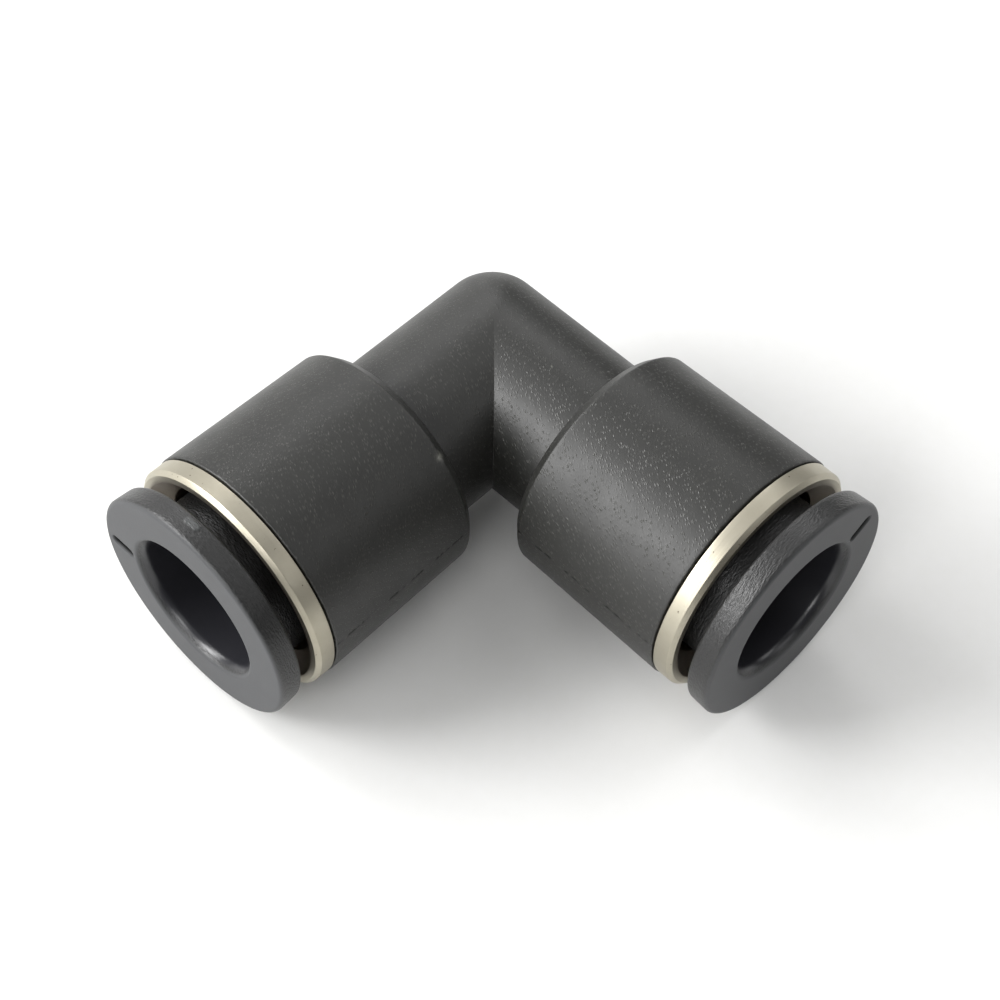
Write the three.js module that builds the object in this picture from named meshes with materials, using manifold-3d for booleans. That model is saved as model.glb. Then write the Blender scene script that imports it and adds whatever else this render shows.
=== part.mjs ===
// A push-in union elbow for 12 mm tube: a moulded elbow whose two equal ports each hold a seal, a spacer,
// a claw ring, a guide ring and a release ring. Millimetres, +Z up. One port opens along +X, the other along
// -Y, and the origin is under the middle of the whole fitting, on the surface that it lies on.
import * as THREE from "three";
import { mergeVertices } from "three/addons/utils/BufferGeometryUtils.js";
import Module from "manifold-3d";

// ---- Driving dimensions ----

const facets = 36; // flats round every turned surface
const fitGap = 0.05; // between faces that touch in the real fitting

// Radial build-up of a port, from the tube outwards
const tubeRadius = 6;
const tubeClearance = 0.1; // round the tube, in every bore that guides it
const stopLedge = 1.25; // width of the ledge that stops the tube
const neckWall = 1.5; // elbow neck, outside the tube seat
const sleeveWall = 1.25; // release ring sleeve
const barbHeight = 0.45; // snap barbs on the sleeve
const barbPlay = 0.15; // round the barbs, in the guide ring
const sleevePlay = 0.15; // round the sleeve, in the guide ring's inner lip
const guideWall = 1.3; // guide ring barrel
const socketWall = 1.2; // elbow socket, at its mouth
const socketDraft = 0.3; // the socket is this much slimmer at its rear
const ringSetback = 0.1; // guide ring face and release flange, inside the socket's outline
const ringFaceWidth = 0.95; // flat front face of the guide ring
const sealSqueeze = 0.2; // the seal reaches this far inside the tube's surface
const sealSection = 2.5; // thickness of the seal ring
const spacerClearance = 0.2; // round the tube, in the spacer
const toothBite = 0.1; // the claws reach this far inside the tube's surface
const clawRimWidth = 1.1;
const recessSlope = 0.7; // the recess is this much narrower at its floor

// Axial build-up of a port, from the elbow's centre outwards
const stopSetback = 3.6; // from the neck's inner corner to the tube stop
const neckLength = 4.5; // from the neck's inner corner to the socket's shoulder
const shoulderChamfer = 0.8;
const tubeSeatLength = 5.4;
const sealPlay = 0.3; // the seal's seat is this much longer than the seal
const spacerLength = 3.15;
const spacerFloor = 0.6;
const clawSheet = 0.35; // thickness of the claw ring's steel strip
const barrelLength = 4.6; // guide ring, inside the socket
const ringWidth = 1.8; // guide ring, outside the socket
const releaseTravel = 1.5; // how far the release ring can be pushed in
const travelClearance = 0.05; // left under the release flange when it is pushed home
const flangeThickness = 2.2;

// Shapes of the single pieces
const mitreRounding = 0.3; // where the two arms of the neck meet in a valley
const kneeRounding = 4.8; // added to that along the outer knee, seen from above
const bendSteps = 4; // rings on each side of the mitre
const mouthEdge = 0.2; // chamfer on the socket's mouth
const ringEdge = 0.35; // chamfer on the guide ring's front edge
const toothCount = 12;
const toothSlot = 0.8; // gap between two teeth
const toothSlope = THREE.MathUtils.degToRad(40);
const lipStart = 2.2; // guide ring inner lip, from the barrel's inner end
const lipLength = 1.0;
const barbGap = 0.1; // between the barbs and the lip they catch on
const barbFlat = 0.3;
const barbRamp = 0.7;
const noseWall = 0.5; // sleeve wall at its tip
const noseTaper = 1.2;
const noseGap = 0.4; // between the sleeve's tip and the teeth
const sleeveSlots = 4;
const sleeveSlotWidth = 1.0;
const sleeveSlotEnd = 3.0; // solid sleeve left between a slot and the flange
const flangeBackEdge = 0.4;
const flangeFrontEdge = 0.55;
const flangeTaper = 0.15; // the flange is this much slimmer at its back
const mouthFlare = 0.56; // lead-in chamfer for the tube
const mouthFlareDepth = 0.7;
const dashWidth = 0.9; // moulded mark on the flange's face, along a radius
const dashDepth = 0.3;
const dashInset = 0.4; // from the mark's ends to the flange's edges
const dashTurnX = THREE.MathUtils.degToRad(210); // where each port's mark points, from the elbow's inner side
const dashTurnY = THREE.MathUtils.degToRad(180);

// ---- Worked-out radii and distances ----

const guidedRadius = tubeRadius + tubeClearance;
const flowRadius = tubeRadius - stopLedge;
const neckRadius = guidedRadius + neckWall;
const sleeveRadius = guidedRadius + sleeveWall;
const barbRadius = sleeveRadius + barbHeight;
const guideBore = barbRadius + barbPlay;
const guideLipBore = sleeveRadius + sleevePlay;
const barrelRadius = guideBore + guideWall;
const socketBore = barrelRadius + fitGap;
const socketRadius = socketBore + socketWall;
const socketRearRadius = socketRadius - socketDraft;
const ringRadius = socketRadius - ringSetback;
const ringOpening = ringRadius - ringFaceWidth;
const sealInner = tubeRadius - sealSqueeze;
const sealSeatRadius = sealInner + sealSection + fitGap;
const clawRootRadius = barrelRadius - clawRimWidth;
const toothTipRadius = tubeRadius - toothBite;

const tubeStop = neckRadius + stopSetback;
const shoulder = neckRadius + neckLength;
const sealSeatStart = tubeStop + tubeSeatLength;
const sealMiddle = sealSeatStart + (sealSection + sealPlay) / 2;
const spacerStep = sealSeatStart + sealSection + sealPlay;
const spacerBack = spacerStep + fitGap;
const spacerFront = spacerBack + spacerLength;
const clawBack = spacerFront + fitGap;
const clawFront = clawBack + clawSheet;
const barrelStart = clawFront + fitGap;
const socketMouth = barrelStart + barrelLength;
const ringBack = socketMouth + fitGap;
const ringFront = ringBack + ringWidth;
const flangeBack = ringFront + releaseTravel + travelClearance;
const flangeFront = flangeBack + flangeThickness;
const noseRadius = guidedRadius + noseWall;
const noseTip = clawFront - (clawRootRadius - noseRadius) * Math.tan(toothSlope) + noseGap;

// ---- Joining and cutting closed meshes ----

const wasm = await Module();
wasm.setup();

function solidFrom(geometry) {
  const bare = geometry.index ? geometry.clone() : geometry;
  bare.deleteAttribute("normal");
  bare.deleteAttribute("uv");
  const merged = mergeVertices(bare, 1e-4);
  const vertProperties = merged.attributes.position.array;
  const triVerts = new Uint32Array(merged.index.array);
  return new wasm.Manifold(new wasm.Mesh({ numProp: 3, vertProperties, triVerts }));
}

function geometryFrom(solid) {
  const mesh = solid.getMesh();
  const geometry = new THREE.BufferGeometry();
  geometry.setAttribute("position", new THREE.BufferAttribute(mesh.vertProperties, 3));
  geometry.setIndex(new THREE.BufferAttribute(mesh.triVerts, 1));
  const faceted = geometry.toNonIndexed();
  faceted.computeVertexNormals();
  return faceted;
}

// ---- Turned shapes: each outline is [radius, distance along the port] and runs anticlockwise ----

function turned(outline) {
  const points = outline.map(([radius, along]) => new THREE.Vector2(radius, along));
  return new THREE.LatheGeometry(points, facets);
}

function turnedRing(outline) {
  return turned([...outline, outline[0]]);
}

// A block through the port's axis, turned about it by an angle, for slots.
function slotBlock(width, innerRadius, outerRadius, from, to, angle) {
  const block = new THREE.BoxGeometry(outerRadius - innerRadius, to - from, width);
  block.translate((innerRadius + outerRadius) / 2, (from + to) / 2, 0);
  return block.rotateY(angle);
}

function withSlots(geometry, blocks) {
  let solid = solidFrom(geometry);
  for (const block of blocks) {
    solid = solid.subtract(solidFrom(block));
  }
  return geometryFrom(solid);
}

// ---- The elbow. A port's own frame has +Y out of the port and +X towards the elbow's inner side ----

const portX = new THREE.Matrix4().makeRotationZ(-Math.PI / 2);
const portY = new THREE.Matrix4().makeRotationX(Math.PI);

// Turns a straight double-ended shape from one arm's outline, and folds it at its middle into a right angle:
// one half stays on +Y and the other swings round to +X. Each line along the shape turns its corner on a round
// of its own, which cornerRadius gives from the line's place across the arm (positive on the inner side).
function folded(armOutline, cornerRadius) {
  const middleRadius = armOutline[0][0];
  const outline = [];
  for (const [radius, along] of armOutline.slice(1).reverse()) {
    outline.push([radius, -along]);
  }
  for (let i = -bendSteps; i <= bendSteps; i += 1) {
    outline.push([middleRadius, i / bendSteps]);
  }
  outline.push(...armOutline.slice(1));
  const geometry = turned(outline);
  const places = geometry.attributes.position;
  for (let i = 0; i < places.count; i += 1) {
    const across = places.getX(i);
    const along = places.getY(i);
    if (along < -1) {
      places.setXY(i, -along, across);
    } else if (along <= 1) {
      const round = cornerRadius(across);
      const angle = (1.25 - 0.25 * along) * Math.PI;
      places.setXY(i, across + round + round * Math.cos(angle), across + round + round * Math.sin(angle));
    }
  }
  return geometry;
}

function elbowOutside() {
  const outline = [
    [neckRadius, 0],
    [neckRadius, shoulder],
    [socketRearRadius - shoulderChamfer, shoulder],
    [socketRearRadius, shoulder + shoulderChamfer],
    [socketRadius, socketMouth - mouthEdge],
    [socketRadius - mouthEdge, socketMouth],
    [0, socketMouth],
  ];
  return folded(outline, (across) => mitreRounding + kneeRounding * Math.max(0, -across / neckRadius));
}

function elbowBore() {
  const pastMouth = socketMouth + 1;
  const outline = [
    [flowRadius, 0],
    [flowRadius, tubeStop],
    [guidedRadius, tubeStop],
    [guidedRadius, sealSeatStart],
    [sealSeatRadius, sealSeatStart],
    [sealSeatRadius, spacerStep],
    [socketBore, spacerStep],
    [socketBore, pastMouth],
    [0, pastMouth],
  ];
  return folded(outline, () => mitreRounding);
}

function elbowBody() {
  return geometryFrom(solidFrom(elbowOutside()).subtract(solidFrom(elbowBore()))).applyMatrix4(portX);
}

// ---- What each port holds ----

function sealRing() {
  const steps = 10;
  const section = sealSection / 2;
  const outline = [];
  for (let i = 0; i < steps; i += 1) {
    const angle = (i / steps) * 2 * Math.PI;
    outline.push([sealInner + section + section * Math.cos(angle), sealMiddle + section * Math.sin(angle)]);
  }
  return turnedRing(outline);
}

function spacerRing() {
  const recess = clawRootRadius + clawSheet + fitGap;
  return turnedRing([
    [tubeRadius + spacerClearance, spacerBack],
    [barrelRadius, spacerBack],
    [barrelRadius, spacerFront],
    [recess, spacerFront],
    [recess - recessSlope, spacerBack + spacerFloor],
    [tubeRadius + spacerClearance, spacerBack + spacerFloor],
  ]);
}

// A flat rim pressed from strip, with teeth that lean in towards the elbow.
function clawRing() {
  const drop = (clawRootRadius - toothTipRadius) * Math.tan(toothSlope);
  const slopedSheet = clawSheet / Math.cos(toothSlope);
  const blank = turnedRing([
    [toothTipRadius, clawFront - drop - slopedSheet],
    [clawRootRadius, clawFront - slopedSheet],
    [clawRootRadius + clawSheet, clawBack],
    [barrelRadius, clawBack],
    [barrelRadius, clawFront],
    [clawRootRadius, clawFront],
    [toothTipRadius, clawFront - drop],
  ]);
  const slots = [];
  for (let i = 0; i < toothCount; i += 1) {
    const angle = ((i + 0.5) / toothCount) * 2 * Math.PI;
    slots.push(slotBlock(toothSlot, toothTipRadius / 2, clawRootRadius, clawBack - 2 * drop, clawFront + 1, angle));
  }
  return withSlots(blank, slots);
}

function guideRing() {
  const lip = barrelStart + lipStart;
  return turnedRing([
    [guideBore, barrelStart],
    [barrelRadius, barrelStart],
    [barrelRadius, ringBack],
    [ringRadius, ringBack],
    [ringRadius, ringFront - ringEdge],
    [ringRadius - ringEdge, ringFront],
    [ringOpening, ringFront],
    [guideBore, ringFront - (ringOpening - guideBore)],
    [guideBore, lip + lipLength],
    [guideLipBore, lip + lipLength],
    [guideLipBore, lip],
    [guideBore, lip],
  ]);
}

// The release ring: a flange to press, and a slotted sleeve whose barbs snap behind the guide ring's lip.
function releaseRing() {
  const barbBack = barrelStart + lipStart - barbGap;
  const blank = turnedRing([
    [guidedRadius, noseTip],
    [noseRadius, noseTip],
    [sleeveRadius, noseTip + noseTaper],
    [sleeveRadius, barbBack - barbFlat - barbRamp],
    [barbRadius, barbBack - barbFlat],
    [barbRadius, barbBack],
    [sleeveRadius, barbBack],
    [sleeveRadius, flangeBack],
    [ringRadius - flangeTaper - flangeBackEdge, flangeBack],
    [ringRadius - flangeTaper, flangeBack + flangeBackEdge],
    [ringRadius, flangeFront - flangeFrontEdge],
    [ringRadius - flangeFrontEdge, flangeFront],
    [guidedRadius + mouthFlare, flangeFront],
    [guidedRadius, flangeFront - mouthFlareDepth],
  ]);
  const cuts = [];
  for (let i = 0; i < sleeveSlots; i += 1) {
    const angle = ((i + 0.5) / sleeveSlots) * 2 * Math.PI;
    const slotEnd = flangeBack - sleeveSlotEnd;
    cuts.push(slotBlock(sleeveSlotWidth, guidedRadius / 2, barbRadius + 1, noseTip - 1, slotEnd, angle));
  }
  const dashStart = guidedRadius + mouthFlare + dashInset;
  const dashEnd = ringRadius - flangeFrontEdge - dashInset;
  cuts.push(slotBlock(dashWidth, dashStart, dashEnd, flangeFront - dashDepth, flangeFront + 1, 0));
  return withSlots(blank, cuts);
}

// ---- Materials ----

function glassFilledNylon() {
  return new THREE.MeshStandardMaterial({ color: 0x3b3c3a, roughness: 0.55, metalness: 0 });
}

function acetal() {
  return new THREE.MeshStandardMaterial({ color: 0x48494a, roughness: 0.45, metalness: 0 });
}

function nickelPlatedBrass() {
  return new THREE.MeshStandardMaterial({ color: 0xcdc7b6, roughness: 0.25, metalness: 1 });
}

function stainlessSpringSteel() {
  return new THREE.MeshStandardMaterial({ color: 0xb9b8b4, roughness: 0.3, metalness: 1 });
}

function nitrileRubber() {
  return new THREE.MeshStandardMaterial({ color: 0x1c1c1d, roughness: 0.8, metalness: 0 });
}

function naturalResin() {
  return new THREE.MeshStandardMaterial({ color: 0xd8d4c8, roughness: 0.5, metalness: 0 });
}

// ---- Assembly ----

function named(name, geometry, material) {
  const mesh = new THREE.Mesh(geometry, material);
  mesh.name = name;
  return mesh;
}

function portPieces(port, releaseTurn) {
  const group = new THREE.Group();
  group.add(named("seal_ring_" + port, sealRing(), nitrileRubber()));
  group.add(named("spacer_ring_" + port, spacerRing(), naturalResin()));
  group.add(named("claw_ring_" + port, clawRing(), stainlessSpringSteel()));
  group.add(named("guide_ring_" + port, guideRing(), nickelPlatedBrass()));
  const release = named("release_ring_" + port, releaseRing(), acetal());
  release.rotation.y = releaseTurn;
  group.add(release);
  return group;
}

const fitting = new THREE.Group();
fitting.add(named("elbow_body", elbowBody(), glassFilledNylon()));

const xPieces = portPieces("x", dashTurnX);
xPieces.applyMatrix4(portX);
fitting.add(xPieces);

const yPieces = portPieces("y", dashTurnY);
yPieces.applyMatrix4(portY);
fitting.add(yPieces);

// The fitting lies on its sockets, with the origin under the middle of its outline.
const middle = (flangeFront - socketRadius) / 2;
fitting.position.set(-middle, middle, socketRadius);

const root = new THREE.Group();
root.add(fitting);

export default root;
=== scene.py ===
import math
from functools import partial

import bmesh
import bpy
import numpy as np
from mathutils import Matrix, Vector, noise


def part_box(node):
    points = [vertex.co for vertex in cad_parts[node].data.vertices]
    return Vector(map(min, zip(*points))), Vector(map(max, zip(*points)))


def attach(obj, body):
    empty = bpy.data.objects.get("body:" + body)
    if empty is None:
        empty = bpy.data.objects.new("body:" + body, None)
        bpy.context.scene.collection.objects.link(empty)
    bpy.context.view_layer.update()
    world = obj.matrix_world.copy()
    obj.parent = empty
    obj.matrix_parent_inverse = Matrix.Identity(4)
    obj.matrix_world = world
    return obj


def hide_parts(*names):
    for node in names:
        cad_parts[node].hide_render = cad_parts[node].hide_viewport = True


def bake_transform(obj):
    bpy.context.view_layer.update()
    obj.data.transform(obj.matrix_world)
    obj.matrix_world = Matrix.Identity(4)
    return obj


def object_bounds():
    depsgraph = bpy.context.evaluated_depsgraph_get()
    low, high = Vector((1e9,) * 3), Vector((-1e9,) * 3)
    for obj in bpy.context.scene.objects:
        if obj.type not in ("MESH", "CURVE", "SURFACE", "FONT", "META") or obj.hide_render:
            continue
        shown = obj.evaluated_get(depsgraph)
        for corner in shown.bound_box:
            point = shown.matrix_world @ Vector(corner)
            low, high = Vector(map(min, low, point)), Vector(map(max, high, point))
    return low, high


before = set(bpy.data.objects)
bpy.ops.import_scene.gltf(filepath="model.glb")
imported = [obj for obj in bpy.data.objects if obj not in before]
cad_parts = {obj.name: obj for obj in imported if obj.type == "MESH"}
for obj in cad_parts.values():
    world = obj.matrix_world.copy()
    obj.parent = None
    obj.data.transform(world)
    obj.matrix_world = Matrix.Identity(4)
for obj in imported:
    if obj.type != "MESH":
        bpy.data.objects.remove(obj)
cad_low, cad_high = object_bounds()

# ---------------------------------------------------------------------------------------------------------
# Elbow body. One injection moulding in glass-filled nylon, near black. Two slim necks meet in a mitre, and
# each widens at a shoulder into the socket that holds the port's loose rings. The bore steps down to a stop.
# ---------------------------------------------------------------------------------------------------------

MM = 0.001  # the sizes below are in millimetres, and the scene is in metres

elbow_low, elbow_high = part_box("elbow_body")
socket_radius = (elbow_high.z - elbow_low.z) / 2 / MM
corner = Vector((elbow_low.x, elbow_high.y, elbow_low.z)) + Vector((1, -1, 1)) * socket_radius * MM
socket_mouth = (elbow_high.x - corner.x) / MM  # how far a socket reaches from the elbow's centre

neck_radius = 7.6
neck_end = 12.1
neck_straight = 1.5  # the last stretch of the neck, past the mitre's fan of rings
neck_root_round = 0.35
shoulder_chamfer = 0.8
shoulder_round = 0.3
socket_draft = 0.3  # how much slimmer the socket is at its rear, so that it leaves the mould
rear_radius = socket_radius - socket_draft
socket_bore = 9.3
mouth_round = 0.13
mitre_round = 0.03
bore_mitre_round = 0.3
knee_round = 4.8
spacer_step = 19.4
seal_radius, seal_seat = 8.35, 16.6
tube_radius, tube_stop = 6.1, 11.2
flow_radius, flow_straight = 4.75, 0.8

parting_height = 0.55  # of the mould's parting line, above the middle
parting_reach = 0.5  # how far from the line the moulding is touched by it
parting_ridge, ridge_width = 0.015, 0.07
parting_groove, groove_width = 0.07, 0.11
groove_below = 0.1  # how far under the ridge the groove runs
neck_share = 0.4  # the line is fainter on the necks
groove_shade_depth = 0.9  # how near black the groove is painted, as painted shade
mouth_wear = 0.07
other_arm_pattern = 3.7

knock_turn = math.radians(47)
knock_radius, knock_along = 10.1, 12.95
knock_size, knock_depth = 0.3, 0.2
knock_push = (0.7, -0.5, 0.5)


def rounded(corners, closed, longest, arc_steps=5):
    """An outline of (radius, along) points. Corners are (radius, along, rounding): each becomes an arc of
    that rounding, and the straights are split so that none is longer than longest."""
    points = []
    count = len(corners)
    for i, (radius, along, rounding) in enumerate(corners):
        here = np.array((radius, along), float)
        if rounding == 0 or (not closed and i in (0, count - 1)):
            points.append(here)
            continue
        back = np.array(corners[i - 1][:2], float) - here
        ahead = np.array(corners[(i + 1) % count][:2], float) - here
        room = 0.49 * min(np.linalg.norm(back), np.linalg.norm(ahead))
        back /= np.linalg.norm(back)
        ahead /= np.linalg.norm(ahead)
        half = math.acos(np.clip(back @ ahead, -1, 1)) / 2
        reach = min(rounding / math.tan(half), room)
        centre = here + (back + ahead) / np.linalg.norm(back + ahead) * reach / math.cos(half)
        start = here + back * reach - centre
        end = here + ahead * reach - centre
        sweep = math.pi - 2 * half
        for step in range(arc_steps + 1):
            share = step / arc_steps
            mixed = math.sin((1 - share) * sweep) * start + math.sin(share * sweep) * end
            points.append(centre + mixed / math.sin(sweep))
    outline = []
    pairs = zip(points, points[1:] + (points[:1] if closed else []))
    for a, b in pairs:
        pieces = max(1, math.ceil(np.linalg.norm(b - a) / longest - 1e-6))
        outline += [a + (b - a) * k / pieces for k in range(pieces)]
    if not closed:
        outline.append(points[-1])
    return np.array(outline)


def grid_piece(name, places, place=Matrix.Identity(4)):
    """A closed mesh object from rings of points: places[ring, step], in millimetres, joined both ways."""
    rings, steps = places.shape[:2]
    mesh = bpy.data.meshes.new(name)
    index = np.arange(rings * steps).reshape(rings, steps)
    onward = np.roll(index, -1, axis=0)
    quads = np.stack((index, np.roll(index, -1, axis=1), np.roll(onward, -1, axis=1), onward), axis=-1)
    mesh.from_pydata((places.reshape(-1, 3) * MM).tolist(), [], quads.reshape(-1, 4).tolist())
    shape = bmesh.new()
    shape.from_mesh(mesh)
    if shape.calc_volume(signed=True) < 0:
        bmesh.ops.reverse_faces(shape, faces=shape.faces)
    shape.to_mesh(mesh)
    shape.free()
    mesh.shade_smooth()
    piece = bpy.data.objects.new(name, mesh)
    piece.matrix_world = place
    bpy.context.scene.collection.objects.link(piece)
    return piece


def even_shading(piece):
    """Lets the large faces set the normals, so that flats stay flat right up to their rounded edges."""
    piece.modifiers.new("even_shading", "WEIGHTED_NORMAL").keep_sharp = True


def angles_with(steps, crowded=(), spread=0, extra=0):
    """Angles round a turned shape in radians, with extra ones crowded within spread of the given angles."""
    angles = list(np.arange(steps) / steps * 2 * math.pi)
    for middle in crowded:
        angles += list(middle + spread * np.linspace(-1, 1, extra))
    angles = np.unique(np.round(np.mod(angles, 2 * math.pi), 6))
    gaps = np.diff(np.append(angles, angles[0] + 2 * math.pi))
    return angles[gaps > 1e-3]


def smooth_step(value, low, high):
    """0 below low and 1 above high, easing in and out between them."""
    share = np.clip((value - low) / (high - low), 0, 1)
    return share * share * (3 - 2 * share)


def paint(piece, name, values):
    """Stores a number at each of the piece's points, for its material to read."""
    layer = piece.data.attributes.new(name, "FLOAT", "POINT")
    layer.data.foreach_set("value", np.asarray(values, np.float32).ravel())


socket_outline = rounded(
    [
        (neck_radius, neck_end - neck_straight, 0),
        (neck_radius, neck_end, neck_root_round),
        (rear_radius - shoulder_chamfer, neck_end, shoulder_round),
        (rear_radius, neck_end + shoulder_chamfer, shoulder_round),
        (socket_radius, socket_mouth, mouth_round),
        (socket_bore, socket_mouth, 0.12),
        (socket_bore, spacer_step, 0.1),
        (seal_radius, spacer_step, 0.15),
        (seal_radius, seal_seat, 0.1),
        (tube_radius, seal_seat, 0.15),
        (tube_radius, tube_stop, 0.1),
        (flow_radius, tube_stop, 0.2),
        (flow_radius, tube_stop - flow_straight, 0),
    ],
    closed=False,
    longest=0.25,
)
parting_angle = math.asin(parting_height / socket_radius)
parting_lines = (parting_angle, math.pi - parting_angle)
round_angles = angles_with(208, parting_lines, spread=0.05, extra=15)
across_unit, up_unit = np.cos(round_angles), np.sin(round_angles)
outside_round = mitre_round + knee_round * np.clip(-across_unit, 0, None)
bore_round = np.full_like(outside_round, bore_mitre_round)


def arm_ring(radius, along):
    """One ring of an arm: how far each point is across, up and along it, and how much painted shade it gets."""
    no_shade = np.zeros_like(across_unit)
    return np.stack((radius * across_unit, radius * up_unit, along + no_shade, no_shade), -1)


def neck_rings(radius, bend_round, along_end, steps):
    """Rings from the mitre's round to along_end, leaning less and less."""
    start = radius * across_unit + bend_round
    return [arm_ring(radius, start + (along_end - start) * k / steps) for k in range(steps)]


def bend_rings(radius, bend_round, steps):
    """Rings through the mitre, straight in the elbow's own frame: along x, along the other arm, up."""
    rings = []
    for k in range(1, steps):
        bend = math.pi * (1 + 0.5 * k / steps)
        across = radius * across_unit
        one = across + bend_round * (1 + math.cos(bend))
        other = across + bend_round * (1 + math.sin(bend))
        rings.append(np.stack((one, other, radius * up_unit, 0 * up_unit), -1))
    return rings


def worn_moulding(ring, pattern):
    """Adds the mould's broken parting line and the small nicks round the socket's mouth. Each pattern number
    breaks the line and places the nicks differently."""
    across, up, along = ring[:, 0].copy(), ring[:, 1].copy(), ring[:, 2].copy()
    radius = np.hypot(across, up)
    outward = np.stack((across, up), -1) / radius[:, None]
    near = np.abs(up - parting_height) < parting_reach
    near &= (radius > neck_radius - 0.1) & (along < socket_mouth - 0.1)
    for i in np.flatnonzero(near):
        side = math.copysign(7.3, across[i]) + pattern
        where = noise.noise(Vector((along[i] * 1.9, side, 0.4)))
        fine = noise.noise(Vector((along[i] * 5.5, side, 8.1)))
        broken = float(smooth_step(where + 0.5 * fine, -0.12, 0.22))
        away = up[i] - parting_height
        ridge = parting_ridge * (0.35 + 0.65 * broken) * math.exp(-((away / ridge_width) ** 2))
        in_groove = broken * (0.6 + 0.8 * fine) * math.exp(-(((away + groove_below) / groove_width) ** 2))
        groove = parting_groove * in_groove
        # painted shade: on the socket, this share of the groove's colour is painted near black
        ring[i, 3] = groove_shade_depth * in_groove if along[i] > neck_end + shoulder_chamfer else 0
        shift = (ridge - groove) * (1 if along[i] > neck_end else neck_share)
        ring[i, :2] += outward[i] * shift
    if abs(along.mean() - socket_mouth) < 0.2 and radius.mean() > socket_bore + 0.5:
        for i in range(len(ring)):
            rough = noise.noise(Vector((across[i] * 2.1, up[i] * 2.1, 5.0 + pattern)))
            fine = noise.noise(Vector((across[i] * 6.3, up[i] * 6.3, 2.0 + pattern)))
            ring[i, 2] -= mouth_wear * max(0, rough + 0.6 * fine)
    return ring


def in_arm(rings, other_arm):
    """Turns across, up and along into the elbow's own frame."""
    order = (0, 2, 1, 3) if other_arm else (2, 0, 1, 3)
    return [ring[:, order] for ring in rings]


arm = neck_rings(neck_radius, outside_round, socket_outline[0][1], steps=26)
arm += [arm_ring(radius, along) for radius, along in socket_outline]
arm += neck_rings(flow_radius, bore_round, socket_outline[-1][1], steps=14)[::-1]
arm_x = [worn_moulding(ring.copy(), 0.0) for ring in arm]
arm_y = [worn_moulding(ring.copy(), other_arm_pattern) for ring in arm]
loop = in_arm(arm_x, False) + bend_rings(flow_radius, bore_round, steps=4)[::-1]
loop += in_arm(arm_y, True)[::-1] + bend_rings(neck_radius, outside_round, steps=14)
elbow_places, groove_shade = np.array(loop)[..., :3], np.array(loop)[..., 3]
elbow_frame = Matrix(((1, 0, 0), (0, -1, 0), (0, 0, 1))).to_4x4()

# a knock on one socket's rear edge, and its paler bruise
knock_at = Vector((knock_radius * math.cos(knock_turn), knock_along, knock_radius * math.sin(knock_turn)))
from_knock = np.linalg.norm(elbow_places - np.array(knock_at), axis=-1)
knock = np.exp(-((from_knock / knock_size) ** 2))
for i in np.argwhere(knock > 0.02):
    knock[tuple(i)] *= np.clip(0.6 + 1.6 * noise.noise(Vector(elbow_places[tuple(i)]) * 4.5), 0, 1)
elbow_places -= knock_depth * knock[..., None] * np.array(knock_push)
elbow_places = elbow_places @ np.array(elbow_frame.to_3x3())

body = grid_piece("moulded_elbow", elbow_places, Matrix.Translation(corner))
paint(body, "bruise", knock)
# painted shade: how near black the parting line's groove is painted
paint(body, "groove_shade", groove_shade)
even_shading(body)


def colour(code):
    """An sRGB hex colour as linear red, green, blue and alpha."""
    parts = [int(code[i : i + 2], 16) / 255 for i in (1, 3, 5)]
    return tuple(c / 12.92 if c <= 0.04045 else ((c + 0.055) / 1.055) ** 2.4 for c in parts) + (1.0,)


def add(tree, kind, feeds=None, **settings):
    """Adds a node: settings are its own, and feeds are its sockets' values or the outputs linked to them."""
    made = tree.nodes.new(kind)
    for name, value in settings.items():
        setattr(made, name, value)
    for key, value in (feeds or {}).items():
        socket = made.inputs[key]
        if isinstance(value, bpy.types.NodeSocket):
            tree.links.new(value, socket)
        else:
            socket.default_value = value
    return made


def finish_material(name):
    """A new material, its node tree, its shader and its own coordinates in millimetres."""
    made = bpy.data.materials.new(name)
    made.use_nodes = True
    tree = made.node_tree
    shader = tree.nodes["Principled BSDF"]
    own = add(tree, "ShaderNodeTexCoord").outputs["Object"]
    in_mm = add(tree, "ShaderNodeVectorMath", {0: own, 1: (1 / MM,) * 3}, operation="MULTIPLY").outputs[0]
    return made, tree, shader, in_mm


melt_run = (0, 0.41, -0.39)  # which way the melt ran, and so how the fibres lie


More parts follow.
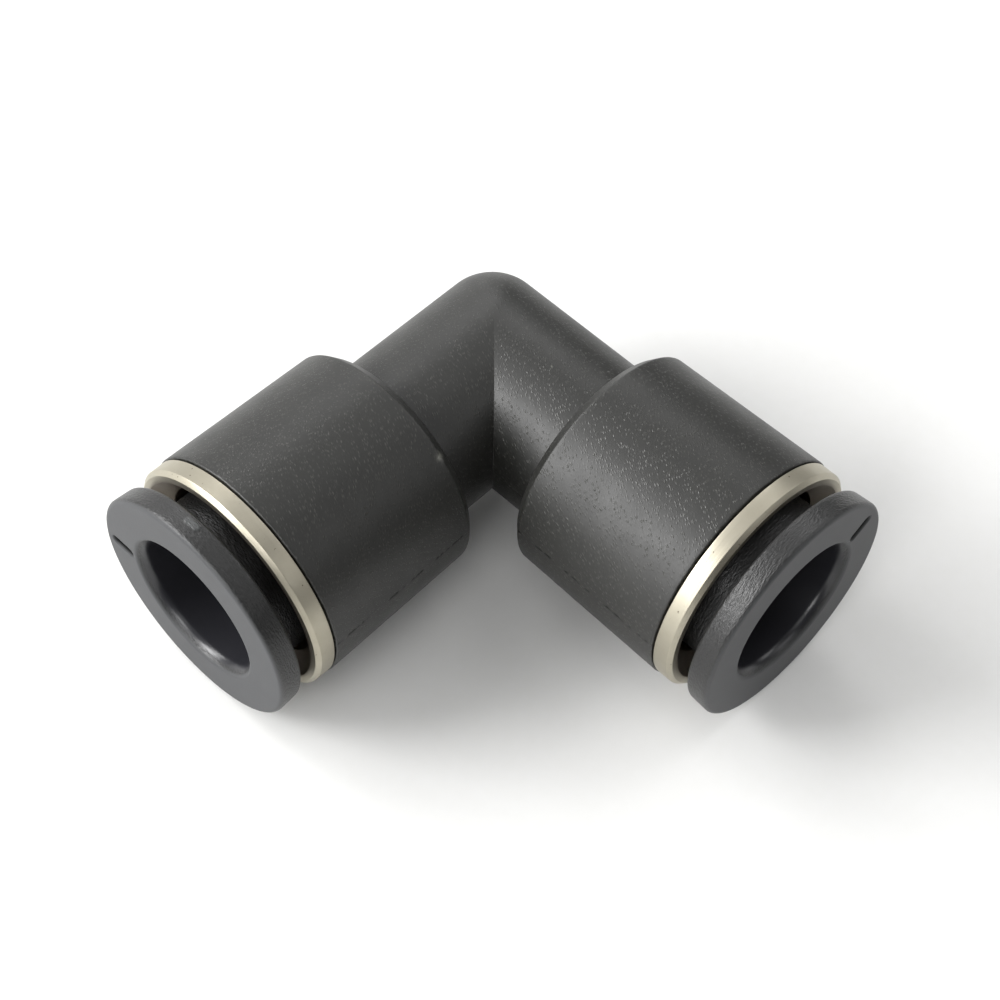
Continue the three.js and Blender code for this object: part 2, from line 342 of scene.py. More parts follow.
def glass_filled_nylon():
    """Moulded glass-filled nylon: a charcoal skin, slightly olive, that is satin rather than glossy because
    glass fibres lie just under it. They show as fine pale flecks, with a faint mottle where the melt flowed.
    It carries a little dust and a pale bruise where it was knocked. The parting line's groove is painted near
    black and dull, as painted shade."""
    made, tree, shader, in_mm = finish_material("glass_filled_nylon_moulded")
    flow = add(tree, "ShaderNodeTexNoise", {"Vector": in_mm, "Scale": 0.33, "Detail": 4.0, "Roughness": 0.55})
    # fibres are 0.01 mm thick and 0.3 mm long, drawn about 0.1 mm thick so that they show
    fibre_mm = add(
        tree,
        "ShaderNodeMapping",
        {"Vector": in_mm, "Rotation": melt_run, "Scale": (0.42, 0.13, 0.13)},
        vector_type="TEXTURE",
    )
    fibres = add(tree, "ShaderNodeTexVoronoi", {"Vector": fibre_mm.outputs[0], "Scale": 1.0})
    fibre_pick = add(tree, "ShaderNodeSeparateXYZ", {0: fibres.outputs["Color"]})
    fibre_edge = {"From Min": 0.1, "From Max": 0.5, "To Min": 1.0, "To Max": 0.0}
    fibre_shape = add(tree, "ShaderNodeMapRange", {"Value": fibres.outputs["Distance"], **fibre_edge})
    fibre_size = add(tree, "ShaderNodeMapRange", {"Value": fibre_pick.outputs["X"], "From Min": 0.3})
    both = {0: fibre_shape.outputs[0], 1: fibre_size.outputs[0]}
    strokes = add(tree, "ShaderNodeMath", both, operation="MULTIPLY").outputs[0]
    skin = add(
        tree,
        "ShaderNodeMix",
        {"Factor": flow.outputs["Fac"], "A": colour("#161614"), "B": colour("#20201d")},
        data_type="RGBA",
    )
    flecked = add(
        tree,
        "ShaderNodeMix",
        {"Factor": strokes, "A": skin.outputs["Result"], "B": colour("#3d3d38")},
        data_type="RGBA",
    )
    # specks of dust are some 0.1 mm across and 1 to 3 mm apart
    dust_mm = add(
        tree,
        "ShaderNodeMapping",
        {"Vector": in_mm, "Rotation": melt_run, "Scale": (3.2, 1.3, 1.5)},
        vector_type="TEXTURE",
    )
    dust = add(tree, "ShaderNodeTexVoronoi", {"Vector": dust_mm.outputs[0], "Scale": 1.0})
    dust_pick = add(tree, "ShaderNodeSeparateXYZ", {0: dust.outputs["Color"]})
    dust_edge = {"From Min": 0.03, "From Max": 0.08, "To Min": 1.0, "To Max": 0.0}
    dust_size = add(tree, "ShaderNodeMapRange", {"Value": dust.outputs["Distance"], **dust_edge})
    dust_share = {"From Min": 0.55, "From Max": 1.0, "To Max": 0.6}
    dust_seen = add(tree, "ShaderNodeMapRange", {"Value": dust_pick.outputs["X"], **dust_share})
    sized = {0: dust_size.outputs[0], 1: dust_seen.outputs[0]}
    dust_on = add(tree, "ShaderNodeMath", sized, operation="MULTIPLY")
    dusty = add(
        tree,
        "ShaderNodeMix",
        {"Factor": dust_on.outputs[0], "A": flecked.outputs["Result"], "B": colour("#6a6a63")},
        data_type="RGBA",
    )
    bruise = add(tree, "ShaderNodeAttribute", attribute_name="bruise")
    bruised = add(
        tree,
        "ShaderNodeMix",
        {"Factor": bruise.outputs["Fac"], "A": dusty.outputs["Result"], "B": colour("#8a8a82")},
        data_type="RGBA",
    )
    # painted shade: the parting line's groove is coloured near black, for the shade that falls in it
    shade_in_groove_line = add(tree, "ShaderNodeAttribute", attribute_name="groove_shade")
    groove_shaded = add(
        tree,
        "ShaderNodeMix",
        {"Factor": shade_in_groove_line.outputs["Fac"], "A": bruised.outputs["Result"], "B": colour("#040404")},
        data_type="RGBA",
    )
    tree.links.new(groove_shaded.outputs["Result"], shader.inputs["Base Color"])
    sheen = add(
        tree,
        "ShaderNodeMapRange",
        {"Value": flow.outputs["Fac"], "From Min": 0.3, "From Max": 0.7, "To Min": 0.5, "To Max": 0.42},
    )
    glint = add(tree, "ShaderNodeMapRange", {"Value": strokes, "To Min": 0.0, "To Max": -0.12}).outputs[0]
    gloss = add(tree, "ShaderNodeMath", {0: sheen.outputs[0], 1: glint}, operation="ADD")
    # the painted shade is also made matt and low in specular, so that it stays dark
    shade_in_groove = shade_in_groove_line.outputs["Fac"]
    matt_groove_shade = add(tree, "ShaderNodeMix", {"Factor": shade_in_groove, "A": gloss.outputs[0], "B": 0.9})
    tree.links.new(matt_groove_shade.outputs[0], shader.inputs["Roughness"])
    dulled = add(tree, "ShaderNodeMapRange", {"Value": shade_in_groove, "To Min": 0.5, "To Max": 0.05})
    tree.links.new(dulled.outputs[0], shader.inputs["Specular IOR Level"])
    swell = add(
        tree, "ShaderNodeBump", {"Height": flow.outputs["Fac"], "Distance": 0.05 * MM, "Strength": 0.6}
    )
    grained = add(
        tree,
        "ShaderNodeBump",
        {"Height": strokes, "Distance": 0.024 * MM, "Strength": 1.0, "Normal": swell.outputs[0]},
    )
    tree.links.new(grained.outputs[0], shader.inputs["Normal"])
    shader.inputs["IOR"].default_value = 1.58
    return made


body.data.materials.append(glass_filled_nylon())
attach(body, "housing")
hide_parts("elbow_body")

# ---------------------------------------------------------------------------------------------------------
# Tube seals. A moulded nitrile rubber ring in each socket, squeezed round the tube. Matt black, with the
# faint flash line that its mould leaves round the outside.
# ---------------------------------------------------------------------------------------------------------

port_frames = {
    "x": Matrix(((0, 0, 1), (-1, 0, 0), (0, -1, 0))).to_4x4(),
    "y": Matrix(((1, 0, 0), (0, 0, -1), (0, 1, 0))).to_4x4(),
}
up_side = {"x": -1, "y": 1}  # a port's own Y axis points down on one port and up on the other


def port_place(port):
    """A port's own frame: Z points out of the port, and X points to the elbow's inner side."""
    return Matrix.Translation(corner) @ port_frames[port]


def reach(port, node):
    """How far out of the elbow's centre a CAD node starts and ends, and its radius, in millimetres."""
    low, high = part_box(node + "_" + port)
    if port == "x":
        start, end = low.x - corner.x, high.x - corner.x
    else:
        start, end = corner.y - high.y, corner.y - low.y
    return start / MM, end / MM, (high.z - low.z) / 2 / MM


def turned(name, outline, port, angles, shape=None):
    """A ring turned round a port's axis from its outline. shape moves the points for anything not turned, and
    gives the numbers to paint on them."""
    radius = outline[:, None, 0]
    places = np.empty((len(outline), len(angles), 3))
    places[..., 0] = radius * np.cos(angles)
    places[..., 1] = radius * np.sin(angles)
    places[..., 2] = outline[:, None, 1]
    painted = {}
    if shape:
        grid = places.shape[:2]
        places, painted = shape(places, np.broadcast_to(radius, grid), np.broadcast_to(angles, grid))
    piece = grid_piece(name, places, port_place(port))
    for kind, values in painted.items():
        paint(piece, kind, values)
    return piece


def nitrile_rubber():
    """Moulded nitrile rubber: near black and matt, with a slight bloom."""
    made, tree, shader, in_mm = finish_material("nitrile_rubber_moulded")
    bloom = add(tree, "ShaderNodeTexNoise", {"Vector": in_mm, "Scale": 1.4, "Detail": 4.0})
    tint = add(
        tree,
        "ShaderNodeMix",
        {"Factor": bloom.outputs["Fac"], "A": colour("#121213"), "B": colour("#252526")},
        data_type="RGBA",
    )
    tree.links.new(tint.outputs["Result"], shader.inputs["Base Color"])
    shader.inputs["Roughness"].default_value = 0.62
    shader.inputs["IOR"].default_value = 1.52
    return made


seal_inner = 5.8
seal_flash, flash_width = 0.04, 0.06  # the width is in radians round the section
rubber = nitrile_rubber()
for port in ("x", "y"):
    seal_start, seal_end, seal_outer = reach(port, "seal_ring")
    section = (seal_outer - seal_inner) / 2
    turns = np.linspace(0, 2 * math.pi, 48, endpoint=False)
    from_flash = np.minimum(turns, 2 * math.pi - turns)
    bulge = section + seal_flash * np.exp(-((from_flash / flash_width) ** 2))
    seal_across = seal_inner + section + bulge * np.cos(turns)
    seal_along = (seal_start + seal_end) / 2 + bulge * np.sin(turns)
    seal_outline = np.stack((seal_across, seal_along), -1)
    seal = turned("tube_seal_" + port, seal_outline, port, angles_with(128))
    seal.data.materials.append(rubber)
    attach(seal, "housing")
    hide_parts("seal_ring_" + port)

# ---------------------------------------------------------------------------------------------------------
# Seal spacers. A ring moulded in natural, undyed acetal, pressed in against the seal. Its hollow front leaves
# room for the claws to bend back when the release ring is pushed.
# ---------------------------------------------------------------------------------------------------------

spacer_bore = 6.2
spacer_floor = 0.6
hollow_mouth, hollow_floor = 8.55, 7.85  # the radius of the hollow at its mouth and at its floor


def natural_acetal():
    """Moulded natural acetal: milky off-white, a little see-through at its edges, with a waxy gloss."""
    made, tree, shader, in_mm = finish_material("natural_acetal_moulded")
    cloud = add(tree, "ShaderNodeTexNoise", {"Vector": in_mm, "Scale": 0.6, "Detail": 3.0})
    tint = add(
        tree,
        "ShaderNodeMix",
        {"Factor": cloud.outputs["Fac"], "A": colour("#d9d4c6"), "B": colour("#e9e6dc")},
        data_type="RGBA",
    )
    tree.links.new(tint.outputs["Result"], shader.inputs["Base Color"])
    shader.inputs["Roughness"].default_value = 0.35
    shader.inputs["IOR"].default_value = 1.48
    shader.inputs["Subsurface Weight"].default_value = 0.25
    shader.inputs["Subsurface Radius"].default_value = (0.6 * MM, 0.5 * MM, 0.4 * MM)
    return made


milky = natural_acetal()
for port in ("x", "y"):
    spacer_back, spacer_front, spacer_outer = reach(port, "spacer_ring")
    spacer_outline = rounded(
        [
            (spacer_bore, spacer_back, 0.1),
            (spacer_outer, spacer_back, 0.15),
            (spacer_outer, spacer_front, 0.1),
            (hollow_mouth, spacer_front, 0.08),
            (hollow_floor, spacer_back + spacer_floor, 0.2),
            (spacer_bore, spacer_back + spacer_floor, 0.12),
        ],
        closed=True,
        longest=0.6,
    )
    spacer = turned("seal_spacer_" + port, spacer_outline, port, angles_with(128))
    even_shading(spacer)
    spacer.data.materials.append(milky)
    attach(spacer, "housing")
    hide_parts("spacer_ring_" + port)

# ---------------------------------------------------------------------------------------------------------
# Claw rings. Pressed from thin stainless spring strip: a flat rim, and twelve teeth bent in that bite the tube.
# The claw ring is one piece that is not attached to the release ring, so rim and teeth stay put when it is
# pressed, where real teeth would swing outwards.
# ---------------------------------------------------------------------------------------------------------

claw_sheet = 0.35
claw_root = 8.15
tooth_tip = 5.9
tooth_slope = math.radians(40)
tooth_count = 12
tooth_slot = 0.8
slot_start = 4  # how far from the axis the cutters start, well inside the bore
cutter_margin = 1  # how far outside a piece a cutter starts
tooth_cutter_depth, sleeve_cutter_depth = 5, 6


def slot_cutter(width, length, depth, place):
    """A closed slot shape: it runs length along X to a round end, is width across Y, and depth thick in Z."""
    half = width / 2
    sweep = np.linspace(-math.pi / 2, math.pi / 2, 13)
    end = [(length - half + half * math.cos(angle), half * math.sin(angle)) for angle in sweep]
    flat = [(0.0, -half)] + end + [(0.0, half)]
    shape = bmesh.new()
    bottom = [shape.verts.new(Vector((x, y, 0)) * MM) for x, y in flat]
    face = shape.faces.new(bottom)
    top = bmesh.ops.extrude_face_region(shape, geom=[face])["geom"]
    lifted = [v for v in top if isinstance(v, bmesh.types.BMVert)]
    bmesh.ops.translate(shape, verts=lifted, vec=(0, 0, depth * MM))
    bmesh.ops.recalc_face_normals(shape, faces=shape.faces)
    mesh = bpy.data.meshes.new("slot_cutter")
    shape.to_mesh(mesh)
    shape.free()
    mesh.transform(place)
    return mesh


def cut_slots(piece, cutters):
    """Cuts slots out of a piece in its own frame, for good."""
    joined = bmesh.new()
    for mesh in cutters:
        joined.from_mesh(mesh)
        bpy.data.meshes.remove(mesh)
    tool_mesh = bpy.data.meshes.new("slots")
    joined.to_mesh(tool_mesh)
    joined.free()
    tool = bpy.data.objects.new("slots", tool_mesh)
    tool.matrix_world = piece.matrix_world
    bpy.context.scene.collection.objects.link(tool)
    cutting = piece.modifiers.new("slots", "BOOLEAN")
    cutting.object = tool
    cutting.operation = "DIFFERENCE"
    cutting.solver = "EXACT"
    with bpy.context.temp_override(object=piece, active_object=piece):
        bpy.ops.object.modifier_apply(modifier="slots")
    bpy.data.objects.remove(tool)


def spring_steel():
    """Cold-rolled stainless spring strip: bright grey metal with fine rolling lines."""
    made, tree, shader, in_mm = finish_material("stainless_spring_strip_rolled")
    lines_mm = add(tree, "ShaderNodeMapping", {"Vector": in_mm, "Scale": (9.0, 0.5, 0.5)})
    lines = add(tree, "ShaderNodeTexNoise", {"Vector": lines_mm.outputs[0], "Scale": 1.0, "Detail": 2.0})
    rough = add(tree, "ShaderNodeMapRange", {"Value": lines.outputs["Fac"], "To Min": 0.22, "To Max": 0.4})
    tree.links.new(rough.outputs[0], shader.inputs["Roughness"])
    ridged = {"Height": lines.outputs["Fac"], "Distance": 0.01 * MM, "Strength": 0.5}
    bump = add(tree, "ShaderNodeBump", ridged)
    tree.links.new(bump.outputs[0], shader.inputs["Normal"])
    shader.inputs["Base Color"].default_value = colour("#b9b7b2")
    shader.inputs["Metallic"].default_value = 1.0
    return made


strip = spring_steel()
tooth_drop = (claw_root - tooth_tip) * math.tan(tooth_slope)
sloped_sheet = claw_sheet / math.cos(tooth_slope)
for port in ("x", "y"):
    claw_tips, claw_front, claw_outer = reach(port, "claw_ring")
    claw_back = claw_front - claw_sheet
    claw_outline = rounded(
        [
            (tooth_tip, claw_front - tooth_drop - sloped_sheet, 0.03),
            (claw_root + 0.05, claw_front - sloped_sheet, 0.3),
            (claw_root + claw_sheet, claw_back, 0.3),
            (claw_outer, claw_back, 0.08),
            (claw_outer, claw_front, 0.08),
            (claw_root, claw_front, 0.5),
            (tooth_tip, claw_front - tooth_drop, 0.06),
        ],
        closed=True,
        longest=0.3,
    )
    claw = turned("grab_ring_" + port, claw_outline, port, angles_with(144))
    slots = []
    for tooth in range(tooth_count):
        between_teeth = Matrix.Rotation((tooth + 0.5) / tooth_count * 2 * math.pi, 4, "Z")
        place = between_teeth @ Matrix.Translation((slot_start * MM, 0, (claw_tips - cutter_margin) * MM))
        slots.append(slot_cutter(tooth_slot, claw_root - slot_start, tooth_cutter_depth, place))
    cut_slots(claw, slots)
    even_shading(claw)
    claw.data.materials.append(strip)
    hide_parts("claw_ring_" + port)
    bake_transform(claw)

# ---------------------------------------------------------------------------------------------------------
# Guide rings. Turned from brass and nickel plated, and pressed into the sockets' mouths. The bright band is
# the one metal part that shows; inside, a lip holds the release ring's barbs.
# ---------------------------------------------------------------------------------------------------------

ring_gap = 0.05  # between the band and the socket's mouth
ring_edge = 0.35
ring_opening = 9.45
relief_width, relief_depth = 0.1, 0.4  # a fine groove turned where the band meets the socket
guide_bore = 7.95
guide_lip_bore = 7.5
lip_start = 2.2
lip_length = 1.0
barrel_radius = 9.25


def nickel_plated_brass():
    """Turned brass under a thin bright nickel plate: a warm silver with fine tool lines round it. Inside the
    cone it is painted brown: partly brass where the plate is thin, partly a painted reflection of the dark
    flange that the cone faces. A few dark pits have started in the plate."""
    made, tree, shader, in_mm = finish_material("nickel_plated_brass_turned")
    parts = add(tree, "ShaderNodeSeparateXYZ", {0: in_mm})
    flat = add(tree, "ShaderNodeCombineXYZ", {"X": parts.outputs["X"], "Y": parts.outputs["Y"]})
    radius = add(tree, "ShaderNodeVectorMath", {0: flat.outputs[0]}, operation="LENGTH").outputs["Value"]
    # tool lines are 0.05 mm apart, drawn about 0.12 mm apart so that they show
    section = add(tree, "ShaderNodeCombineXYZ", {"X": radius, "Y": parts.outputs["Z"]})
    lines = add(tree, "ShaderNodeTexNoise", {"Vector": section.outputs[0], "Scale": 8.0, "Detail": 1.5})
    worn = add(tree, "ShaderNodeTexNoise", {"Vector": in_mm, "Scale": 0.7, "Detail": 5.0, "Roughness": 0.65})
    cone_edge = {"From Min": 9.75, "From Max": 9.35, "To Min": 0.0, "To Max": 0.7}
    inside = add(tree, "ShaderNodeMapRange", {"Value": radius, **cone_edge})
    plate = add(
        tree,
        "ShaderNodeMix",
        {"Factor": worn.outputs["Fac"], "A": colour("#b8b3a4"), "B": colour("#aca695")},
        data_type="RGBA",
    )
    # painted reflection: the cone is tinted brown, partly for brass under thin plate, partly for the dark
    # flange it reflects
    brass_and_reflection = add(
        tree,
        "ShaderNodeMix",
        {"Factor": inside.outputs[0], "A": plate.outputs["Result"], "B": colour("#86776a")},
        data_type="RGBA",
    )
    pit_noise = add(tree, "ShaderNodeTexNoise", {"Vector": in_mm, "Scale": 2.6, "Detail": 2.0})
    pit_edge = {"From Min": 0.72, "From Max": 0.78}
    pits = add(tree, "ShaderNodeMapRange", {"Value": pit_noise.outputs["Fac"], **pit_edge})
    pitted = add(
        tree,
        "ShaderNodeMix",
        {"Factor": pits.outputs[0], "A": brass_and_reflection.outputs["Result"], "B": colour("#4b4238")},
        data_type="RGBA",
    )
    tree.links.new(pitted.outputs["Result"], shader.inputs["Base Color"])
    rough = add(tree, "ShaderNodeMapRange", {"Value": worn.outputs["Fac"], "To Min": 0.36, "To Max": 0.52})
    tree.links.new(rough.outputs[0], shader.inputs["Roughness"])
    score_marks = {"Height": lines.outputs["Fac"], "Distance": 0.01 * MM, "Strength": 0.7}
    scored = add(tree, "ShaderNodeBump", score_marks)
    tree.links.new(scored.outputs[0], shader.inputs["Normal"])
    shader.inputs["Metallic"].default_value = 1.0
    return made


plated = nickel_plated_brass()
for port in ("x", "y"):
    barrel_start, ring_front, ring_radius = reach(port, "guide_ring")
    ring_back = socket_mouth + ring_gap
    lip = barrel_start + lip_start
    guide_outline = rounded(
        [
            (guide_bore, barrel_start, 0.1),
            (barrel_radius, barrel_start, 0.15),
            (barrel_radius, ring_back, 0.05),
            (ring_radius - relief_depth, ring_back, 0.03),
            (ring_radius - relief_depth, ring_back + relief_width, 0.03),
            (ring_radius, ring_back + relief_width, 0.05),
            (ring_radius, ring_front - ring_edge, 0.08),
            (ring_radius - ring_edge, ring_front, 0.08),
            (ring_opening, ring_front, 0.12),
            (guide_bore, ring_front - (ring_opening - guide_bore), 0.2),
            (guide_bore, lip + lip_length, 0.05),
            (guide_lip_bore, lip + lip_length, 0.05),
            (guide_lip_bore, lip, 0.05),
            (guide_bore, lip, 0.05),
        ],
        closed=True,
        longest=0.5,
    )
    guide = turned("plated_ring_" + port, guide_outline, port, angles_with(256))
    even_shading(guide)
    guide.data.materials.append(plated)
    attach(guide, "housing")
    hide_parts("guide_ring_" + port)

# ---------------------------------------------------------------------------------------------------------
# Release rings. Moulded in dark acetal: a flange to press, and a slotted sleeve whose barbs snap behind the
# guide ring's lip. A short line moulded into the flange's face points outwards, and one flange has the stub of
# its gate on its edge.
# ---------------------------------------------------------------------------------------------------------

tube_bore = tube_radius
nose_radius = 6.6
nose_taper = 1.2
sleeve_radius = 7.35
barb_radius = 7.8
barb_gap = 0.1
barb_flat = 0.3
barb_ramp = 0.7
flange_thickness = 2.2
flange_taper = 0.15
mouth_flare = 0.56
flare_depth = 0.7
sleeve_slots = 4
sleeve_slot_width = 1.0
sleeve_slot_end = 3.0
flange_front_edge = 0.55
face_skin, edge_skin = 0.05, 0.5  # points this close to the flange's front or rim are on its face or edge

dash_turn = {"x": 150, "y": 180}  # degrees round from the elbow's inner side
dash_width = 0.9
dash_soft_edge = 0.12  # how far its edge is rounded each way, as a share of its width
dash_depth = 0.3
dash_inset = 0.4
gate_port = "y"
gate_turn = 91
gate_from_back = 0.72
gate_half_width, gate_half_height, gate_height = 0.75, 0.28, 0.07
near_mark = {"dash": 0.5, "gate": 0.3}  # only points within this many radians of a mark belong to it


def dark_acetal(face_along):
    """Moulded dark acetal: a cool charcoal. The pressed face, at face_along, is matt, and painted paler than
    the edge as painted light that falls on it. The edge carries the mould's coarse spark-eroded grain, and the
    bore is polished by the tube. The gate's stub is bruised paler, and the moulded line is painted near black
    and dull, as painted shade in its recess."""
    made, tree, shader, in_mm = finish_material("dark_acetal_moulded")
    parts = add(tree, "ShaderNodeSeparateXYZ", {0: in_mm})
    flat = add(tree, "ShaderNodeCombineXYZ", {"X": parts.outputs["X"], "Y": parts.outputs["Y"]})
    radius = add(tree, "ShaderNodeVectorMath", {0: flat.outputs[0]}, operation="LENGTH").outputs["Value"]
    cloud = add(tree, "ShaderNodeTexNoise", {"Vector": in_mm, "Scale": 0.5, "Detail": 4.0})
    face_edge = {"From Min": face_along - 0.28, "From Max": face_along - 0.04}
    face = add(tree, "ShaderNodeMapRange", {"Value": parts.outputs["Z"], **face_edge}).outputs[0]
    bore_edge = {"From Min": 6.5, "From Max": 6.25}
    in_bore = add(tree, "ShaderNodeMapRange", {"Value": radius, **bore_edge}).outputs[0]
    side = add(
        tree,
        "ShaderNodeMix",
        {"Factor": cloud.outputs["Fac"], "A": colour("#191919"), "B": colour("#212121")},
        data_type="RGBA",
    )
    # painted light: the face is coloured paler than the edge, for the light that falls on it
    face_painted_light = add(
        tree,
        "ShaderNodeMix",
        {"Factor": cloud.outputs["Fac"], "A": colour("#3a3b3d"), "B": colour("#424345")},
        data_type="RGBA",
    )
    faced = add(
        tree,
        "ShaderNodeMix",
        {"Factor": face, "A": side.outputs["Result"], "B": face_painted_light.outputs["Result"]},
        data_type="RGBA",
    )
    bored = add(
        tree,
        "ShaderNodeMix",
        {"Factor": in_bore, "A": faced.outputs["Result"], "B": colour("#26262a")},
        data_type="RGBA",
    )
    bruise = add(tree, "ShaderNodeAttribute", attribute_name="bruise")
    bruised = add(
        tree,
        "ShaderNodeMix",
        {"Factor": bruise.outputs["Fac"], "A": bored.outputs["Result"], "B": colour("#3c3e3e")},
        data_type="RGBA",
    )
    # painted shade: the sunk dash is coloured near black and dull, for the shade in its recess
    dash_shade = add(tree, "ShaderNodeAttribute", attribute_name="dash_shade")
    dash_shaded = add(
        tree,
        "ShaderNodeMix",
        {"Factor": dash_shade.outputs["Fac"], "A": bruised.outputs["Result"], "B": colour("#060606")},
        data_type="RGBA",
    )
    tree.links.new(dash_shaded.outputs["Result"], shader.inputs["Base Color"])
    matt = add(tree, "ShaderNodeMapRange", {"Value": face, "To Min": 0.38, "To Max": 0.55})
    gloss = add(tree, "ShaderNodeMix", {"Factor": in_bore, "A": matt.outputs[0], "B": 0.3})
    dull_dash_shade = add(tree, "ShaderNodeMix", {"Factor": dash_shade.outputs["Fac"], "A": gloss.outputs[0], "B": 0.95})
    tree.links.new(dull_dash_shade.outputs[0], shader.inputs["Roughness"])
    dulled = add(tree, "ShaderNodeMapRange", {"Value": dash_shade.outputs["Fac"], "To Min": 0.5, "To Max": 0.05})
    tree.links.new(dulled.outputs[0], shader.inputs["Specular IOR Level"])
    # the spark-eroded grain is 0.1 to 0.4 mm wide and wraps round the edge
    angle = add(tree, "ShaderNodeMath", {0: parts.outputs["Y"], 1: parts.outputs["X"]}, operation="ARCTAN2")
    round_edge = add(tree, "ShaderNodeMath", {0: angle.outputs[0], 1: radius}, operation="MULTIPLY")
    wrapped_mm = {"X": round_edge.outputs[0], "Y": parts.outputs["Z"], "Z": radius}
    wrapped = add(tree, "ShaderNodeCombineXYZ", wrapped_mm)
    grain_mm = add(
        tree,
        "ShaderNodeMapping",
        {"Vector": wrapped.outputs[0], "Scale": (0.36, 0.13, 0.13)},
        vector_type="TEXTURE",
    )
    grain = add(tree, "ShaderNodeTexNoise", {"Vector": grain_mm.outputs[0], "Scale": 1.0, "Detail": 2.0})
    grain_depth = add(tree, "ShaderNodeMapRange", {"Value": face, "To Min": 1.0, "To Max": 0.15})
    smooth_bore = add(tree, "ShaderNodeMix", {"Factor": in_bore, "A": grain_depth.outputs[0], "B": 0.08})
    bump = add(
        tree,
        "ShaderNodeBump",
        {"Height": grain.outputs["Fac"], "Distance": 0.07 * MM, "Strength": smooth_bore.outputs[0]},
    )
    tree.links.new(bump.outputs[0], shader.inputs["Normal"])
    shader.inputs["IOR"].default_value = 1.55
    return made


def turned_from(angles, mark):
    """How far each angle lies from a mark's, in radians, the short way round."""
    return np.mod(angles - mark + math.pi, 2 * math.pi) - math.pi


def mark_angle(port, degrees):
    """The angle of a mark in a port's own frame, given as degrees round from the elbow's inner side."""
    return up_side[port] * math.radians(degrees)


def marked_flange(places, radius, angles, port, flange_front, flange_radius):
    """Sinks the dash into the flange's face, and raises the gate's stub on its edge. Gives the moved points,
    how bruised each one is, and how much painted shade each one gets in the sunk dash."""
    from_dash = turned_from(angles, mark_angle(port, dash_turn[port]))
    start = tube_bore + mouth_flare + dash_inset + dash_width / 2
    end = flange_radius - flange_front_edge - dash_inset - dash_width / 2
    beyond = np.maximum(0, np.maximum(start - radius, radius - end))
    away = np.hypot(beyond, from_dash * radius)
    on_face = (places[..., 2] > flange_front - face_skin) & (np.abs(from_dash) < near_mark["dash"])
    sunk = 1 - smooth_step(away, dash_width * (0.5 - dash_soft_edge), dash_width * (0.5 + dash_soft_edge))
    sunk = np.where(on_face, sunk, 0)
    places[..., 2] -= dash_depth * sunk
    stub = np.zeros(radius.shape)
    if port == gate_port:
        from_gate = turned_from(angles, mark_angle(port, gate_turn))
        up_edge = places[..., 2] - (flange_front - flange_thickness) - gate_from_back
        # a squarish pad: the fourth powers round its corners
        pad = (np.abs(from_gate * radius) / gate_half_width) ** 4 + (np.abs(up_edge) / gate_half_height) ** 4
        on_edge = (radius > flange_radius - edge_skin) & (np.abs(from_gate) < near_mark["gate"])
        stub = np.where(on_edge, 1 - smooth_step(pad, 0.5, 1.6), 0)
        places[..., :2] *= (1 + stub * gate_height / radius)[..., None]
    # the dash's sunk share is also how much painted shade it gets
    return places, {"bruise": stub, "dash_shade": sunk}


acetal = dark_acetal(reach("x", "release_ring")[1])
for port in ("x", "y"):
    nose_tip, flange_front, flange_radius = reach(port, "release_ring")
    flange_back = flange_front - flange_thickness
    barb_back = reach(port, "guide_ring")[0] + lip_start - barb_gap
    release_outline = rounded(
        [
            (tube_bore, nose_tip, 0.08),
            (nose_radius, nose_tip, 0.15),
            (sleeve_radius, nose_tip + nose_taper, 0.4),
            (sleeve_radius, barb_back - barb_flat - barb_ramp, 0.2),
            (barb_radius, barb_back - barb_flat, 0.1),
            (barb_radius, barb_back, 0.05),
            (sleeve_radius, barb_back, 0.08),
            (sleeve_radius, flange_back, 0.3),
            (flange_radius - flange_taper, flange_back, 0.4),
            (flange_radius, flange_front, 0.4),
            (tube_bore + mouth_flare, flange_front, 0.4),
            (tube_bore, flange_front - flare_depth, 0.9),
        ],
        closed=True,
        longest=0.12,
        arc_steps=7,
    )
    dash_at = mark_angle(port, dash_turn[port])
    marks = [dash_at] + ([mark_angle(port, gate_turn)] if port == gate_port else [])
    with_marks = partial(marked_flange, port=port, flange_front=flange_front, flange_radius=flange_radius)
    collar_angles = angles_with(240, marks, spread=0.09, extra=25)
    release = turned("release_collar_" + port, release_outline, port, collar_angles, with_marks)
    slots = []
    for slot in range(sleeve_slots):
        slot_angle = dash_at + (slot + 0.5) / sleeve_slots * 2 * math.pi
        outward = (math.cos(slot_angle), math.sin(slot_angle))
        sideways = (-outward[1], outward[0])
        along_sleeve = ((0, sideways[0], outward[0]), (0, sideways[1], outward[1]), (1, 0, 0))
        slot_turn = Matrix(along_sleeve).to_4x4()
        slot_from = Vector((outward[0] * slot_start, outward[1] * slot_start, nose_tip - cutter_margin))
        slot_length = flange_back - sleeve_slot_end - nose_tip + cutter_margin
        place = Matrix.Translation(slot_from * MM) @ slot_turn
        slots.append(slot_cutter(sleeve_slot_width, slot_length, sleeve_cutter_depth, place))
    cut_slots(release, slots)
    even_shading(release)
    release.data.materials.append(acetal)
    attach(release, "release_" + port)
    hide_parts("release_ring_" + port)

# ---------------------------------------------------------------------------------------------------------
# Studio: a plain pale floor, soft light from large panels, and the camera. The fitting lies on its sockets.
# ---------------------------------------------------------------------------------------------------------


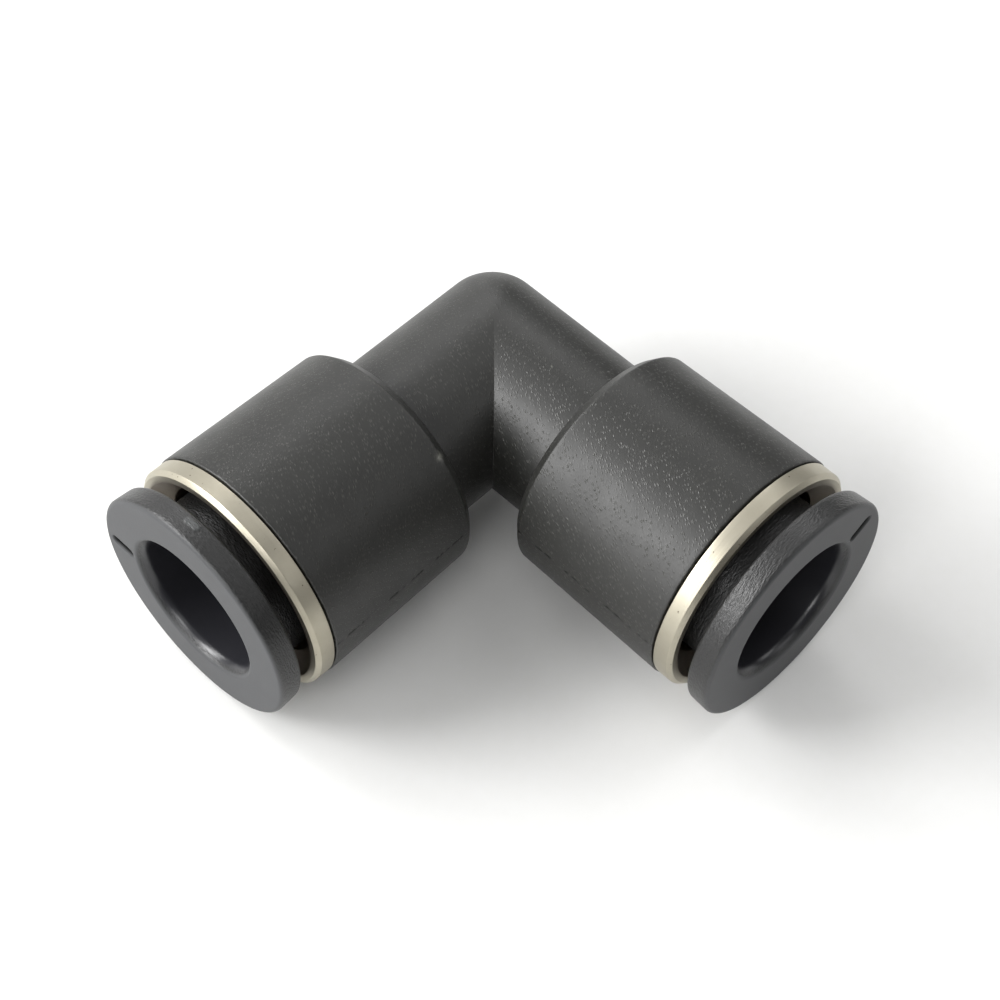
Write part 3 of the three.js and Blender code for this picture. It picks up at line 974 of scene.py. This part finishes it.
def matt_paper():
    """White matt paper: pale and even, with a barely visible tooth."""
    made, tree, shader, in_mm = finish_material("white_paper_matt")
    tooth = add(tree, "ShaderNodeTexNoise", {"Vector": in_mm, "Scale": 0.8, "Detail": 3.0})
    tint = add(
        tree,
        "ShaderNodeMix",
        {"Factor": tooth.outputs["Fac"], "A": colour("#e4e4e2"), "B": colour("#e7e7e6")},
        data_type="RGBA",
    )
    tree.links.new(tint.outputs["Result"], shader.inputs["Base Color"])
    shader.inputs["Roughness"].default_value = 0.9
    return made


floor_half = 1.5
floor_mesh = bpy.data.meshes.new("paper_floor")
floor_corners = [(x * floor_half, y * floor_half, 0) for x, y in ((-1, -1), (1, -1), (1, 1), (-1, 1))]
floor_mesh.from_pydata(floor_corners, [], [(0, 1, 2, 3)])
floor = bpy.data.objects.new("paper_floor", floor_mesh)
floor.location.z = cad_low.z
floor.data.materials.append(matt_paper())
bpy.context.scene.collection.objects.link(floor)

middle = (cad_low + cad_high) / 2
panel_distance = 0.7


def away_from_middle(azimuth, elevation, distance):
    """A point seen from the fitting's middle: azimuth 0 is towards -Y and 90 towards +X, in degrees."""
    a, e = math.radians(azimuth), math.radians(elevation)
    return middle + distance * Vector((math.sin(a) * math.cos(e), -math.cos(a) * math.cos(e), math.sin(e)))


def soft_panel(name, azimuth, elevation, size, watts):
    """A square panel of white light that faces the fitting."""
    light = bpy.data.lights.new(name, "AREA")
    light.size = size
    light.energy = watts
    lamp = bpy.data.objects.new(name, light)
    lamp.location = away_from_middle(azimuth, elevation, panel_distance)
    lamp.rotation_mode = "QUATERNION"
    lamp.rotation_quaternion = (middle - lamp.location).to_track_quat("-Z", "Y")
    bpy.context.scene.collection.objects.link(lamp)


soft_panel("key_panel", -42, 32, 0.3, 4.6)
soft_panel("key_wing_panel", -75, 35, 0.3, 2.3)
soft_panel("front_panel", 15, 35, 0.3, 1.6)
soft_panel("low_front_panel", -18, 15, 0.3, 1.3)
soft_panel("low_left_panel", -120, 12, 0.3, 0.4)
soft_panel("back_panel", -135, 35, 0.3, 1.15)
soft_panel("left_top_panel", -90, 60, 0.3, 0.5)
soft_panel("far_side_panel", 165, 35, 0.35, 0.8)
soft_panel("far_top_panel", 180, 60, 0.35, 0.5)
soft_panel("side_panel", 115, 35, 0.4, 0.6)
soft_panel("right_top_panel", 45, 60, 0.3, 0.35)
soft_panel("overhead_panel", 0, 88, 0.3, 0.2)

world = bpy.data.worlds.new("studio_air")
world.use_nodes = True
world.node_tree.nodes["Background"].inputs["Color"].default_value = colour("#ffffff")
world.node_tree.nodes["Background"].inputs["Strength"].default_value = 0.03
bpy.context.scene.world = world
bpy.context.scene.view_settings.view_transform = "Standard"

camera_azimuth, camera_elevation = 42.8, 55.8
camera_distance = 0.1789
camera_roll = math.radians(2.07)
aim_offset = Vector((-1.72, 2.5, 0)) * MM  # from the elbow's box's middle to what the camera looks at

lens = bpy.data.cameras.new("studio_camera")
lens.lens = 79.84
lens.clip_start = 0.01
camera = bpy.data.objects.new("studio_camera", lens)
aim = Vector((0, 0, middle.z)) + aim_offset
camera.location = away_from_middle(camera_azimuth, camera_elevation, camera_distance) - middle + aim
camera.rotation_mode = "QUATERNION"
level = (aim - camera.location).to_track_quat("-Z", "Y")
camera.rotation_quaternion = level @ Matrix.Rotation(camera_roll, 3, "Z").to_quaternion()
bpy.context.scene.collection.objects.link(camera)
bpy.context.scene.camera = camera
